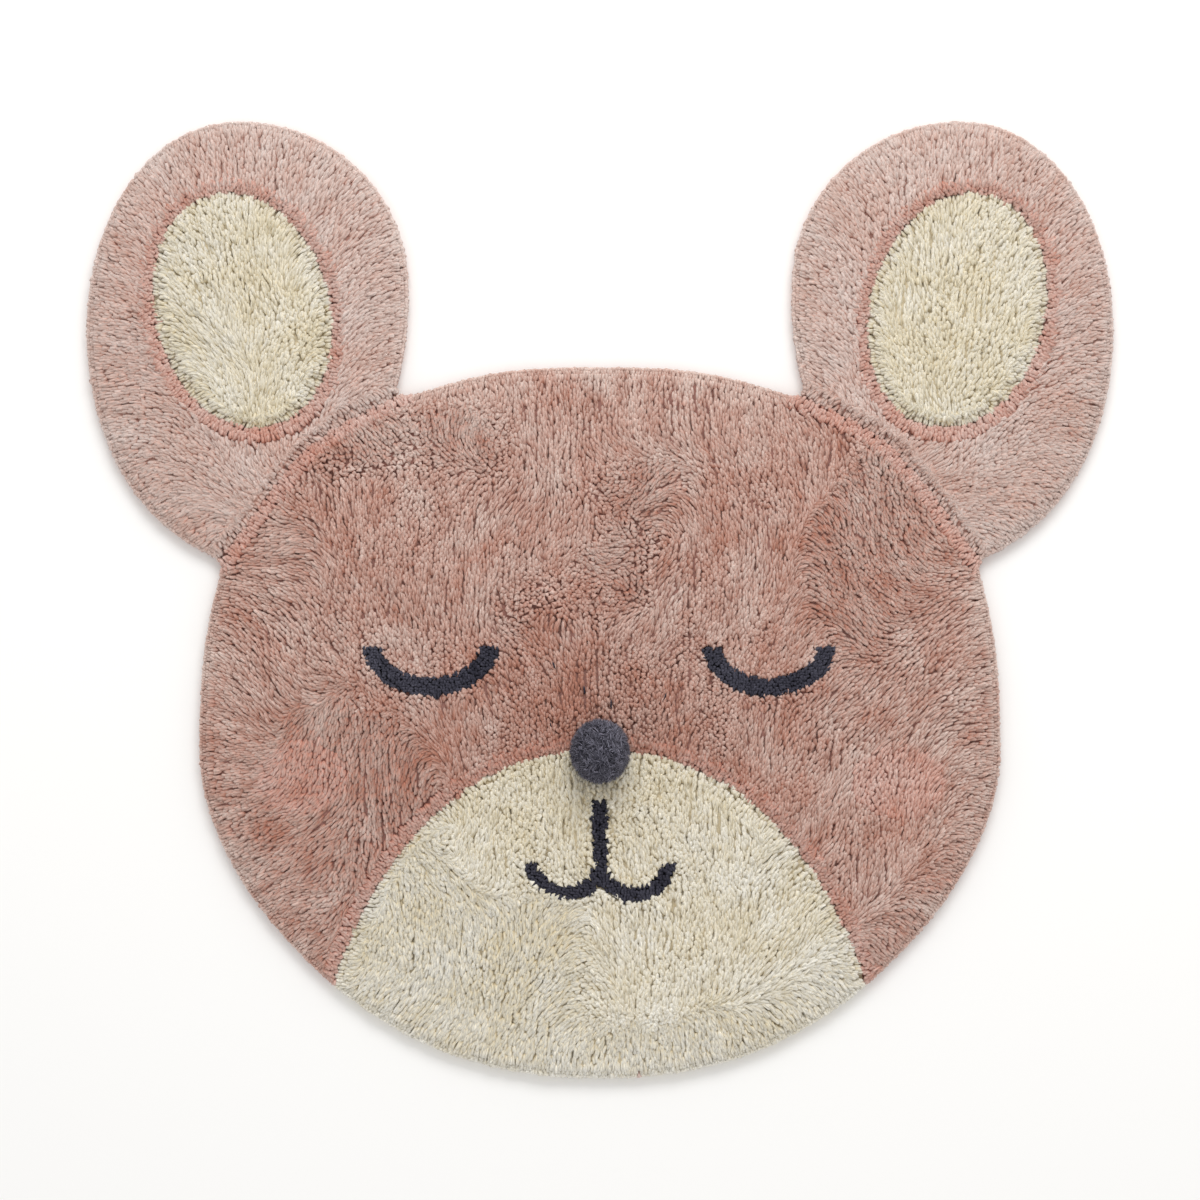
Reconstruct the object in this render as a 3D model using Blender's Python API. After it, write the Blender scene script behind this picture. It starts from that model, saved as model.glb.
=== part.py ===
"""A kids' rug in the shape of an animal's head: one hand-tufted sheet of cut pile, and a pompom nose.

Metres, +Z up. The rug lies flat, its backing on z = 0 and its ears towards +Y. The origin is under the
middle of its outline. The head's two halves are mirror images, so tables hold the half at +X.
"""

import math
import random
from collections import namedtuple

import bmesh
import bpy
from mathutils import Vector, noise
from mathutils.geometry import delaunay_2d_cdt, interpolate_bezier

COLLECTION_NAME = "animal_head_rug"

# Driving dimensions of the outline
WIDTH = 1.030
LENGTH = 0.960
HEAD_WIDTH = 0.804
HEAD_LENGTH = 0.714
SIDE, END = WIDTH / 2, LENGTH / 2
CHIN_Y = -END
CROWN_Y = CHIN_Y + HEAD_LENGTH

# Driving dimensions of the cloth's thickness
PILE_TOP = 0.017
UNEVEN_HEIGHT, UNEVEN_LENGTH = 0.0009, 0.085
CARVE_DEPTH, CARVE_HALF_WIDTH = 0.0022, 0.0055

# Driving dimensions of the pompom, and of the pressed place where it is sewn on
NOSE_Y = -0.150
NOSE_RADII = Vector((0.0320, 0.0345, 0.0320))
NOSE_CORE_SHARE = 0.60
NOSE_LOCKS_ACROSS = 6
NOSE_LOCK_GAP = 0.0005
NOSE_LOCK_UNEVEN = 0.05
NOSE_CENTRE_RISE = 0.0255
NOSE_SEAT_RADIUS = 0.024
NOSE_SEAT_Z = PILE_TOP - 0.003
SEAT_GAP = 0.0003

# Mesh fineness
OUTLINE_STEP = 0.0145
BORDER_STEP = 0.0150
FIELD_STEP = 0.0220
FIELD_CLEARANCE = 0.0165
FEWEST_STEPS = 3
BORDER_END_MARGIN = 0.005
MERGE_DISTANCE = 1e-5

# A curve's stations: place, heading in degrees, and its handles' lengths before and after.
Station = namedtuple("Station", "name x y heading before after")
OUTLINE = (
    Station("chin", 0.000, CHIN_Y, 0, 0.000, 0.120),
    Station("jaw", 0.268, -0.386, 40, 0.090, 0.070),
    Station("cheek", HEAD_WIDTH / 2, -0.150, 90, 0.100, 0.100),
    Station("head_side", 0.380, 0.030, 105, 0.050, 0.006),
    Station("under_ear", 0.382, 0.038, 65, 0.004, 0.004),
    Station("ear_base", 0.390, 0.044, 24, 0.006, 0.080),
    Station("ear_side", SIDE, 0.270, 90, 0.112, 0.116),
    Station("ear_top", 0.360, END, 180, 0.092, 0.090),
    Station("ear_inner", 0.192, 0.322, 268, 0.088, 0.050),
    Station("ear_foot", 0.203, 0.216, 284, 0.034, 0.005),
    Station("ear_root", 0.200, 0.206, 222, 0.005, 0.005),
    Station("crown_side", 0.190, 0.205, 161, 0.005, 0.070),
    Station("crown", 0.000, CROWN_Y, 180, 0.090, 0.000),
)

# Borders between yarns that run from one place on the outline to another
EAR_BORDER = (
    Station("under_ear", 0.382, 0.038, 128, 0.000, 0.050),
    Station("temple", 0.306, 0.138, 132, 0.045, 0.045),
    Station("ear_root", 0.200, 0.206, 152, 0.055, 0.000),
)
MUZZLE_BORDER = (
    Station("jaw", 0.268, -0.386, 108, 0.000, 0.120),
    Station("muzzle_top", 0.000, NOSE_Y, 180, 0.150, 0.000),
)

# A rim row: how far inside the outline, and how high. The pile splays past the backing's cut edge.
RimRow = namedtuple("RimRow", "inset z")
RIM = (
    RimRow(0.0100, 0.0000),
    RimRow(0.0085, 0.0025),
    RimRow(0.0015, 0.0050),
    RimRow(0.0000, 0.0090),
    RimRow(0.0025, 0.0135),
    RimRow(0.0075, 0.0162),
)
FIELD_INSET = 0.0130

# Ovals of another yarn: middle, half lengths of the axes, and the long axis's lean in degrees.
Oval = namedtuple("Oval", "x y half_width half_length lean")
INNER_EAR = Oval(0.358, 0.290, 0.088, 0.120, -15)
BLUSH = Oval(0.300, -0.180, 0.048, 0.036, 0)

# Drawn lines of charcoal yarn: a half ellipse that hangs from its ends, as wide as the line is.
Smile = namedtuple("Smile", "x y half_width drop line")
CLOSED_EYE = Smile(0.170, -0.045, 0.058, 0.040, 0.018)
MOUTH_SIDE = Smile(0.034, -0.262, 0.034, 0.030, 0.014)
LIP_TOP_Y, LIP_LINE = -0.198, 0.014

# Yarn colours as linear RGB, with the roughness of dull cotton
YARN_ROUGHNESS = 0.95
YARNS = {
    "rose": (0.361, 0.213, 0.168),
    "pale_rose": (0.492, 0.352, 0.304),
    "cream": (0.640, 0.571, 0.440),
    "coral": (0.420, 0.195, 0.150),
    "charcoal": (0.040, 0.040, 0.055),
}
SLOT = {name: index for index, name in enumerate(YARNS)}


def clear_scene():
    for old in list(bpy.data.objects):
        bpy.data.objects.remove(old, do_unlink=True)


def yarn_material(name):
    material = bpy.data.materials.new(f"{name}_yarn")
    material.use_nodes = True
    shader = material.node_tree.nodes["Principled BSDF"]
    shader.inputs["Base Color"].default_value = (*YARNS[name], 1.0)
    shader.inputs["Roughness"].default_value = YARN_ROUGHNESS
    shader.inputs["Metallic"].default_value = 0.0
    return material


def heading(degrees):
    angle = math.radians(degrees)
    return Vector((math.cos(angle), math.sin(angle)))


def curve_through(stations, step):
    """Points about a step apart along the smooth curve through the stations, both ends included."""
    points = [Vector((stations[0].x, stations[0].y))]
    for here, there in zip(stations, stations[1:]):
        start, end = Vector((here.x, here.y)), Vector((there.x, there.y))
        first_handle = start + heading(here.heading) * here.after
        last_handle = end - heading(there.heading) * there.before
        steps = max(FEWEST_STEPS, round((end - start).length / step))
        points += interpolate_bezier(start, first_handle, last_handle, end, steps + 1)[1:]
    return points


def mirrored(points):
    return [Vector((-point.x, point.y)) for point in reversed(points)]


def oval_loop(oval):
    """The oval's points, anticlockwise."""
    count = round(math.pi * (oval.half_width + oval.half_length) / BORDER_STEP)
    across, along = heading(oval.lean), heading(oval.lean + 90)
    loop = []
    for step in range(count):
        angle = math.tau * step / count
        offset = across * oval.half_width * math.cos(angle) + along * oval.half_length * math.sin(angle)
        loop.append(Vector((oval.x, oval.y)) + offset)
    return loop


def smile_loop(smile):
    """The edge of a line drawn along the lower half of an ellipse."""
    count = round(math.pi * smile.half_width / BORDER_STEP) + 2
    middle = Vector((smile.x, smile.y))
    outer, inner = [], []
    for step in range(count + 1):
        angle = math.pi * (1 + step / count)
        spine = middle + Vector((smile.half_width * math.cos(angle), smile.drop * math.sin(angle)))
        outward = Vector((smile.drop * math.cos(angle), smile.half_width * math.sin(angle))).normalized()
        outer.append(spine + outward * smile.line / 2)
        inner.append(spine - outward * smile.line / 2)
    return outer + inner[::-1]


def lip_loop():
    """The edge of the straight line from under the nose to the mouth, narrow enough for two sides."""
    half, foot_y = LIP_LINE / 2, MOUTH_SIDE.y - LIP_LINE / 2
    return [Vector(corner) for corner in (
        (half, foot_y), (half, LIP_TOP_Y), (-half, LIP_TOP_Y), (-half, foot_y),
    )]


def seat_loop():
    count = round(math.tau * NOSE_SEAT_RADIUS / BORDER_STEP) + 4
    centre = Vector((0.0, NOSE_Y))
    return [centre + heading(360 * step / count) * NOSE_SEAT_RADIUS for step in range(count)]


def both_sides(loop):
    return [loop, mirrored(loop)]


def ring(loop):
    """The loop as a chain that ends where it starts."""
    return loop + loop[:1]


def inside(point, loop):
    """True if the loop goes round the point: a ray towards +X crosses it an odd number of times."""
    crossings = 0
    for here, there in zip(loop, loop[1:] + loop[:1]):
        if (here.y > point.y) != (there.y > point.y):
            share = (point.y - here.y) / (there.y - here.y)
            crossings += point.x < here.x + share * (there.x - here.x)
    return crossings % 2 == 1


def distance_to_segment(point, start, end):
    along = end - start
    share = (point - start).dot(along) / along.length_squared
    return (point - start - along * min(1.0, max(0.0, share))).length


def distance_to_chains(point, chains):
    return min(
        distance_to_segment(point, start, end)
        for chain in chains
        for start, end in zip(chain, chain[1:])
    )


def inset_loop(loop, inset):
    """An anticlockwise loop moved in along its normals."""
    moved = []
    for before, point, after in zip(loop[-1:] + loop[:-1], loop, loop[1:] + loop[:1]):
        along = (after - before).normalized()
        moved.append(point + Vector((-along.y, along.x)) * inset)
    return moved


class Design:
    """Where each yarn goes, and the borders that are carved between yarns."""

    def __init__(self):
        half = curve_through(OUTLINE, OUTLINE_STEP)
        self.outline = half + mirrored(half[1:-1])
        self.field_edge = inset_loop(self.outline, FIELD_INSET)
        self.safe_edge = inset_loop(self.field_edge, BORDER_END_MARGIN)
        ear = curve_through(EAR_BORDER, BORDER_STEP)
        muzzle = curve_through(MUZZLE_BORDER, BORDER_STEP)
        muzzle += mirrored(muzzle[:-1])
        under, root = self.outline_index(ear[0]), self.outline_index(ear[-1])
        jaw, other_jaw = self.outline_index(muzzle[0]), self.outline_index(muzzle[-1])
        count = len(self.outline)
        right_ear, left_ear = self.border(ear), self.border(mirrored(ear))
        muzzle_top = self.border(muzzle)
        crown = self.outline[root:count - root + 1]
        self.head = self.outline[:under] + right_ear + crown[1:-1] + left_ear
        self.head += self.outline[count - under + 1:]
        self.muzzle = muzzle_top + self.outline[other_jaw + 1:] + self.outline[:jaw]
        self.inner_ears = both_sides(oval_loop(INNER_EAR))
        self.blushes = both_sides(oval_loop(BLUSH))
        self.lines = both_sides(smile_loop(CLOSED_EYE)) + both_sides(smile_loop(MOUTH_SIDE))
        self.lines.append(lip_loop())
        self.open_borders = [chain[1:-1] for chain in (right_ear, left_ear, muzzle_top)]
        self.carved = self.open_borders + [ring(loop) for loop in self.inner_ears]
        self.nose = Vector((0.0, NOSE_Y))

    def outline_index(self, place):
        return min(range(len(self.outline)), key=lambda index: (self.outline[index] - place).length)

    def border(self, curve):
        """The curve from outline to outline, crossing the rim squarely at both ends."""
        first, last = self.outline_index(curve[0]), self.outline_index(curve[-1])
        between = [point for point in curve if inside(point, self.safe_edge)]
        start = [self.outline[first], self.field_edge[first]]
        return start + between + [self.field_edge[last], self.outline[last]]

    def yarn_at(self, point):
        """The yarn that shows at a place on the rug."""
        if any(inside(point, loop) for loop in self.lines):
            return "charcoal"
        if any(inside(point, loop) for loop in self.blushes):
            return "coral"
        if any(inside(point, loop) for loop in self.inner_ears):
            return "cream"
        if not inside(point, self.head):
            return "pale_rose"
        return "cream" if inside(point, self.muzzle) else "rose"

    def pile_height(self, point):
        """The pile's top: softly uneven, lower along a carved border, and pressed flat under the nose."""
        if (point - self.nose).length < NOSE_SEAT_RADIUS + MERGE_DISTANCE:
            return NOSE_SEAT_Z
        wave = noise.noise(Vector((point.x, point.y, 0.0)) / UNEVEN_LENGTH) * UNEVEN_HEIGHT
        near = max(0.0, 1.0 - distance_to_chains(point, self.carved) / CARVE_HALF_WIDTH)
        return PILE_TOP + wave - CARVE_DEPTH * near


def beside_points(design, drawn):
    """Points on both sides of each carved border, where the pile is back at its full height."""
    found = []
    for chain in design.carved:
        for here, there in zip(chain, chain[1:]):
            along = (there - here).normalized()
            aside = Vector((along.y, -along.x)) * CARVE_HALF_WIDTH
            middle = (here + there) / 2
            found += [middle + aside, middle - aside]
    found = [place for place in found if inside(place, design.safe_edge)]
    found = [place for place in found if distance_to_chains(place, drawn) > CARVE_HALF_WIDTH]
    kept = []
    for place in found:
        if all((place - other).length > CARVE_HALF_WIDTH for other in kept):
            kept.append(place)
    return kept


def field_points(design, chains):
    """A staggered grid of points over the pile, clear of its edge and of every border."""
    found = []
    edge = ring(design.field_edge)
    rows, columns = math.ceil(LENGTH / FIELD_STEP), math.ceil(WIDTH / FIELD_STEP)
    for row in range(rows):
        for column in range(columns):
            x = (column - columns / 2 + 0.5 * (row % 2)) * FIELD_STEP
            place = Vector((x, (row - rows / 2) * FIELD_STEP))
            if inside(place, design.field_edge):
                if distance_to_chains(place, [edge, *chains]) > FIELD_CLEARANCE:
                    found.append(place)
    return found


def top_triangles(design):
    """(points, triangles) over the pile's top, field edge first, with an edge along each border."""
    drawn = [ring(loop) for loop in (*design.lines, seat_loop())]
    closed = [ring(loop) for loop in (*design.inner_ears, *design.blushes)]
    chains = design.open_borders + closed + drawn
    points = list(design.field_edge)
    index_of = {tuple(point): index for index, point in enumerate(points)}
    edges = [(index, (index + 1) % len(points)) for index in range(len(points))]
    for chain in chains:
        for place in chain:
            if tuple(place) not in index_of:
                index_of[tuple(place)] = len(points)
                points.append(place)
        edges += [(index_of[tuple(here)], index_of[tuple(there)]) for here, there in zip(chain, chain[1:])]
    points += beside_points(design, drawn) + field_points(design, chains)
    only_inside_first_loop = 1
    placed, _, triangles, *_ = delaunay_2d_cdt(points, edges, [], only_inside_first_loop, MERGE_DISTANCE)
    return placed, triangles


def rug_mesh(design):
    """The tufted sheet: a flat backing, a rim of splayed pile and the pile's top, in one closed skin."""
    bm = bmesh.new()
    placed, triangles = top_triangles(design)
    top = [bm.verts.new((place.x, place.y, design.pile_height(place))) for place in placed]
    for triangle in triangles:
        face = bm.faces.new([top[index] for index in triangle])
        face.material_index = SLOT[design.yarn_at(face.calc_center_median().to_2d())]
    rings = []
    for row in RIM:
        loop = inset_loop(design.outline, row.inset)
        rings.append([bm.verts.new((place.x, place.y, row.z)) for place in loop])
    count = len(design.outline)
    rings.append(top[:count])
    for index in range(count):
        after = (index + 1) % count
        middle = (design.field_edge[index] + design.field_edge[after]) / 2
        yarn = design.yarn_at(middle)
        for lower, upper in zip(rings, rings[1:]):
            face = bm.faces.new((lower[index], lower[after], upper[after], upper[index]))
            face.material_index = SLOT[yarn]
    underside = bm.faces.new(rings[0][::-1])
    underside.material_index = SLOT["cream"]
    bmesh.ops.recalc_face_normals(bm, faces=bm.faces)
    mesh = bpy.data.meshes.new("rug")
    bm.to_mesh(mesh)
    bm.free()
    return mesh


def pompom_mesh():
    """A ball of blunt four-sided locks on a core. The locks underneath are shorter, and end level."""
    bm = bmesh.new()
    bmesh.ops.create_cube(bm, size=2.0)
    bmesh.ops.subdivide_edges(bm, edges=bm.edges, cuts=NOSE_LOCKS_ACROSS - 1, use_grid_fill=True)
    for vert in bm.verts:
        # The tangent spreads each cube face's grid evenly over its part of the ball.
        even = Vector([math.tan(value * math.pi / 4) for value in vert.co]).normalized()
        vert.co = Vector([value * radius for value, radius in zip(even, NOSE_RADII)]) * NOSE_CORE_SHARE
    locks = list(bm.faces)
    bmesh.ops.inset_individual(bm, faces=locks, thickness=NOSE_LOCK_GAP, use_even_offset=True)
    chance = random.Random(5)
    for lock in locks:
        length = (1.0 - NOSE_LOCK_UNEVEN * chance.random()) / NOSE_CORE_SHARE
        for tip in lock.verts:
            level = NOSE_CENTRE_RISE / max(-tip.co.z, MERGE_DISTANCE)
            tip.co *= min(length, level)
    bmesh.ops.recalc_face_normals(bm, faces=bm.faces)
    mesh = bpy.data.meshes.new("nose_pompom")
    bm.to_mesh(mesh)
    bm.free()
    return mesh


def add_part(mesh, collection, yarns):
    part = bpy.data.objects.new(mesh.name, mesh)
    for name in yarns:
        mesh.materials.append(yarn_material(name))
    collection.objects.link(part)
    return part


def main():
    clear_scene()
    collection = bpy.data.collections.new(COLLECTION_NAME)
    bpy.context.scene.collection.children.link(collection)
    add_part(rug_mesh(Design()), collection, YARNS)
    pompom = add_part(pompom_mesh(), collection, ["charcoal"])
    pompom.location = (0.0, NOSE_Y, NOSE_SEAT_Z + SEAT_GAP + NOSE_CENTRE_RISE)


main()
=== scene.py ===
# %% [markdown]
# # A tufted kids' rug in the shape of an animal's head
# The real rug is hand-tufted. A tufting gun shoots loops of thick cotton yarn through a stretched canvas,
# row beside row, and shears cut them to an even pile. The frame holds a plain slab for that pile.
# Here we dress it: a canvas, tens of thousands of separate tufts, and a pompom for the nose.

# %% Load the frame
import math
from collections import namedtuple

import bmesh
import bpy
import numpy as np
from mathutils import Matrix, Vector, noise
from mathutils.geometry import delaunay_2d_cdt, interpolate_bezier


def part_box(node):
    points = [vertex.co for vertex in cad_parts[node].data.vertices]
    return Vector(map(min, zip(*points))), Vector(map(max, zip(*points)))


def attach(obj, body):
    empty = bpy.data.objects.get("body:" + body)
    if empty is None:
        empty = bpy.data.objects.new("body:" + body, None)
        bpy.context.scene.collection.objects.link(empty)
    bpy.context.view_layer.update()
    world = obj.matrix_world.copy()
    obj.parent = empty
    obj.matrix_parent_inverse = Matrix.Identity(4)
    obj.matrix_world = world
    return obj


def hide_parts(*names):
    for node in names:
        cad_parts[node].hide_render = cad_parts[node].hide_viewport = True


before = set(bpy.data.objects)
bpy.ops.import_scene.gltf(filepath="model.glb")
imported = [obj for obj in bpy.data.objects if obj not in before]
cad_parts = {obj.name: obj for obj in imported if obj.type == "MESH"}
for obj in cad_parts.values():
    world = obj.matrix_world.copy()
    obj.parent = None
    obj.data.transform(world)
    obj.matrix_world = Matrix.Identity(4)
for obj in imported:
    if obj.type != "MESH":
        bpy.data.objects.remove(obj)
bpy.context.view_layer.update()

MM = 0.001
rug_low, rug_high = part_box("rug")
nose_low, nose_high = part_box("nose_pompom")
print("rug slab in mm:", [round(size / MM, 1) for size in rug_high - rug_low])

# %% [markdown]
# ## The drawing under the pile
# A maker traces the design onto the canvas first. Every tuft later asks this drawing which yarn it is.
# The drawing could be an image, but curves through a few stations stay sharp at any size, and they are
# the same curves that shaped the frame's slab. The head is symmetric, so we draw its right half.

# %% Stations of the outline and of the borders between yarns, in millimetres and degrees
Station = namedtuple("Station", "name x y heading before after")
OUTLINE = (
    Station("chin", 0, -480, 0, 0, 120),
    Station("jaw", 268, -386, 40, 90, 70),
    Station("cheek", 402, -150, 90, 100, 100),
    Station("head_side", 380, 30, 105, 50, 6),
    Station("under_ear", 382, 38, 65, 4, 4),
    Station("ear_base", 390, 44, 24, 6, 80),
    Station("ear_side", 515, 270, 90, 112, 116),
    Station("ear_top", 360, 480, 180, 92, 90),
    Station("ear_inner", 192, 322, 268, 88, 50),
    Station("ear_foot", 203, 216, 284, 34, 5),
    Station("ear_root", 200, 206, 222, 5, 5),
    Station("crown_side", 190, 205, 161, 5, 70),
    Station("crown", 0, 234, 180, 90, 0),
)
EAR_BORDER = (
    Station("under_ear", 382, 38, 128, 0, 50),
    Station("temple", 306, 138, 132, 45, 45),
    Station("ear_root", 200, 206, 152, 55, 0),
)
MUZZLE_BORDER = (
    Station("jaw", 268, -386, 108, 0, 120),
    Station("muzzle_top", 0, -150, 180, 150, 0),
)
DRAWING_STEP = 4 * MM
FEWEST_STEPS = 3


def heading(degrees):
    """The unit vector of a heading, as a row of numpy."""
    return np.array([math.cos(math.radians(degrees)), math.sin(math.radians(degrees))])


def curve_through(stations):
    """Points about one drawing step apart on the smooth curve through the stations."""
    points = [np.array([stations[0].x, stations[0].y]) * MM]
    for here, there in zip(stations, stations[1:]):
        start, end = np.array([here.x, here.y]) * MM, np.array([there.x, there.y]) * MM
        leave = start + heading(here.heading) * here.after * MM
        arrive = end - heading(there.heading) * there.before * MM
        steps = max(FEWEST_STEPS, round(np.linalg.norm(end - start) / DRAWING_STEP))
        corners = [Vector(corner) for corner in (start, leave, arrive, end)]
        points += [np.array(point) for point in interpolate_bezier(*corners, steps + 1)[1:]]
    return np.array(points)


def mirrored(chain):
    """The same chain on the other side of the face, walked so that its left stays its left."""
    return chain[::-1] * (-1, 1)


half_outline = curve_through(OUTLINE)
outline = np.concatenate([half_outline, mirrored(half_outline)[1:]])
ear_border = curve_through(EAR_BORDER)
half_muzzle = curve_through(MUZZLE_BORDER)
muzzle_border = np.concatenate([half_muzzle, mirrored(half_muzzle)[1:]])
outline_length = np.linalg.norm(np.diff(outline, axis=0), axis=1).sum()
print("outline:", len(outline), "points,", outline_length.round(2), "m round")

# %% [markdown]
# ## Ovals and drawn lines
# The inner ears and the cheeks are ovals of another yarn. The closed eyes and the mouth are lines that
# hang like a rope between two points, so half an ellipse with some width draws each of them.

# %% Ovals, closed eyes and mouth, in millimetres and degrees
Oval = namedtuple("Oval", "x y half_width half_length lean")
INNER_EAR = Oval(358, 290, 88, 120, -15)
BLUSH = Oval(300, -180, 48, 36, 0)
Smile = namedtuple("Smile", "x y half_width drop line")
CLOSED_EYE = Smile(170, -45, 58, 40, 18)
MOUTH_SIDE = Smile(34, -262, 34, 30, 14)
SMILE_POINTS = 24
LIP_TOP_Y, LIP_LINE = -198, 14


def oval_loop(oval):
    """A closed chain round the oval, anticlockwise."""
    count = round(math.pi * (oval.half_width + oval.half_length) * MM / DRAWING_STEP)
    angles = np.linspace(0, math.tau, count + 1)[:, None]
    across, along = heading(oval.lean), heading(oval.lean + 90)
    places = across * oval.half_width * np.cos(angles) + along * oval.half_length * np.sin(angles)
    return (places + (oval.x, oval.y)) * MM


def smile_loop(smile):
    """A closed chain round a line that hangs between two points."""
    angles = np.linspace(math.pi, math.tau, SMILE_POINTS)[:, None]
    spine = np.hstack([smile.half_width * np.cos(angles), smile.drop * np.sin(angles)])
    outward = np.hstack([smile.drop * np.cos(angles), smile.half_width * np.sin(angles)])
    outward *= smile.line / 2 / np.linalg.norm(outward, axis=1, keepdims=True)
    loop = np.concatenate([spine + outward, (spine - outward)[::-1], (spine + outward)[:1]])
    return (loop + (smile.x, smile.y)) * MM


def lip_loop():
    """A closed chain round the short line from the nose down to the mouth."""
    half, foot = LIP_LINE / 2, MOUTH_SIDE.y - LIP_LINE / 2
    corners = [(half, foot), (half, LIP_TOP_Y), (-half, LIP_TOP_Y), (-half, foot), (half, foot)]
    return np.array(corners) * MM


inner_ear, blush = oval_loop(INNER_EAR), oval_loop(BLUSH)
right_lines = [smile_loop(CLOSED_EYE), smile_loop(MOUTH_SIDE)]
drawn_lines = [*right_lines, *map(mirrored, right_lines), lip_loop()]
nose_middle = np.array([(nose_low.x + nose_high.x) / 2, (nose_low.y + nose_high.y) / 2])
print("drawn lines:", len(drawn_lines), "and the nose at", nose_middle.round(3), "m")

# %% [markdown]
# ## Measuring against the drawing
# Two questions are enough for every tuft: is this place inside a loop, and how far is it from a chain?
# Asking them for all places at once in numpy takes a second, where a Python loop would take minutes.

# %% Inside a loop, distance to a chain
TINY = 1e-12


def inside(places, loop):
    """True where the loop goes round a place: a ray towards +X crosses it an odd number of times."""
    x, y = places[:, :1], places[:, 1:]
    here, there = loop, np.roll(loop, -1, axis=0)
    crosses = (here[:, 1] > y) != (there[:, 1] > y)
    rise = np.where(there[:, 1] == here[:, 1], 1.0, there[:, 1] - here[:, 1])
    at = here[:, 0] + (y - here[:, 1]) * (there[:, 0] - here[:, 0]) / rise
    return (crosses & (x < at)).sum(axis=1) % 2 == 1


def distance(places, chain):
    """From each place to the nearest point of the chain."""
    along = np.diff(chain, axis=0)
    length_squared = np.maximum((along ** 2).sum(axis=1), TINY)
    nearest_yet = np.full(len(places), np.inf)
    for start, step, size in zip(chain, along, length_squared):
        share = np.clip((places - start) @ step / size, 0, 1)
        apart = np.linalg.norm(places - start - share[:, None] * step, axis=1)
        nearest_yet = np.minimum(nearest_yet, apart)
    return nearest_yet


def right_normals(chain):
    """The unit normals to the right of the chain's way: outward, where it is an anticlockwise loop."""
    along = np.gradient(chain, axis=0)
    if np.allclose(chain[0], chain[-1]):
        along[0] = along[-1] = chain[1] - chain[-2]
    along /= np.linalg.norm(along, axis=1, keepdims=True)
    return along[:, ::-1] * (1, -1)


def unit(vectors):
    """The same vectors, each one long."""
    return vectors / np.maximum(np.linalg.norm(vectors, axis=-1, keepdims=True), TINY)


def index_near(chain, place):
    """The number of the chain's point that is nearest to the place."""
    return int(np.linalg.norm(chain - place, axis=1).argmin())


def area_within(loop):
    """The area a loop goes round."""
    x, y = loop.T
    return 0.5 * abs((x * np.roll(y, -1) - y * np.roll(x, -1)).sum())


# %% Loops round the head and the muzzle
# The head is the outline with both ears cut off along their borders.
under_ear = index_near(half_outline, ear_border[0])
ear_root = index_near(half_outline, ear_border[-1])
half_head = np.concatenate([half_outline[:under_ear], ear_border, half_outline[ear_root + 1:]])
head = np.concatenate([half_head, mirrored(half_head)[1:]])
jaw = index_near(half_outline, half_muzzle[0])
half_chin = half_outline[:jaw]
muzzle = np.concatenate([half_chin, muzzle_border, mirrored(half_chin)])
print("head area:", area_within(head).round(3), "m2, muzzle area:", area_within(muzzle).round(3), "m2")

# %% [markdown]
# ## Which yarn, and how high
# Along the ears, the inner ears and the muzzle the maker sets two rows of coral stitches, four cut ends
# wide, on the darker side. The shears dip a little there, which makes each shape stand out. The height
# below follows the frame's slab: gently uneven, lower along those borders, and pressed flat where the
# pompom is sewn on.
#
# Chance and Blender's soft noise waves both get a seed. Without it, noise_vector starts from the clock,
# and each run would lay the pile another way.

# %% Yarns and heights over the drawing
PILE_TOP = 17 * MM
UNEVEN_HEIGHT, UNEVEN_LENGTH = 0.9 * MM, 85 * MM
CARVE_DEPTH, CARVE_HALF_WIDTH = 2.2 * MM, 5.5 * MM
SEAT_RADIUS, SEAT_SLOPE, SEAT_DEPTH = 24 * MM, 10 * MM, 3.4 * MM
CORAL_WIDTH = 11.4 * MM
FRAYED_BORDER = 0.8 * MM
ROSE, PALE_ROSE, CREAM, CORAL, CHARCOAL = range(5)
CHANCE_SEED, WAVE_SEED = 11, 4
chance = np.random.default_rng(CHANCE_SEED)
noise.seed_set(WAVE_SEED)
ear_borders = [ear_border, mirrored(ear_border)]
inner_ears = [inner_ear, mirrored(inner_ear)]
blushes = [blush, mirrored(blush)]
borders = [*ear_borders, muzzle_border, *inner_ears]
print("borders between yarns:", len(borders))


def inside_any(places, loops):
    """True where at least one of the loops goes round a place."""
    return np.any([inside(places, loop) for loop in loops], axis=0)


def nearest(places, chains):
    """From each place to the nearest point of all the chains."""
    return np.min([distance(places, chain) for chain in chains], axis=0)


def coral_depth(places):
    """How far each place lies from a border on its coral side, and far away elsewhere."""
    in_head, in_muzzle = inside(places, head), inside(places, muzzle)
    on_head = in_head & ~in_muzzle
    on_ear = ~in_head & ~inside_any(places, inner_ears)
    depth = np.where(on_head, nearest(places, [*ear_borders, muzzle_border]), np.inf)
    return np.where(on_ear, nearest(places, inner_ears), depth)


def yarns_at(places):
    """The number of the yarn at each place."""
    in_head = inside(places, head)
    yarns = np.where(in_head, ROSE, PALE_ROSE)
    yarns[in_head & inside(places, muzzle)] = CREAM
    yarns[inside_any(places, inner_ears)] = CREAM
    fray = chance.normal(0, FRAYED_BORDER, len(places))
    yarns[coral_depth(places) + fray < CORAL_WIDTH] = CORAL
    yarns[inside_any(places, blushes)] = CORAL
    yarns[inside_any(places, drawn_lines)] = CHARCOAL
    return yarns


def waves(places, length, layer):
    """Three soft waves from -1 to 1 at each place, about one length long. Each layer has its own."""
    return np.array([noise.noise_vector((x / length, y / length, layer)) for x, y in places])


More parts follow.
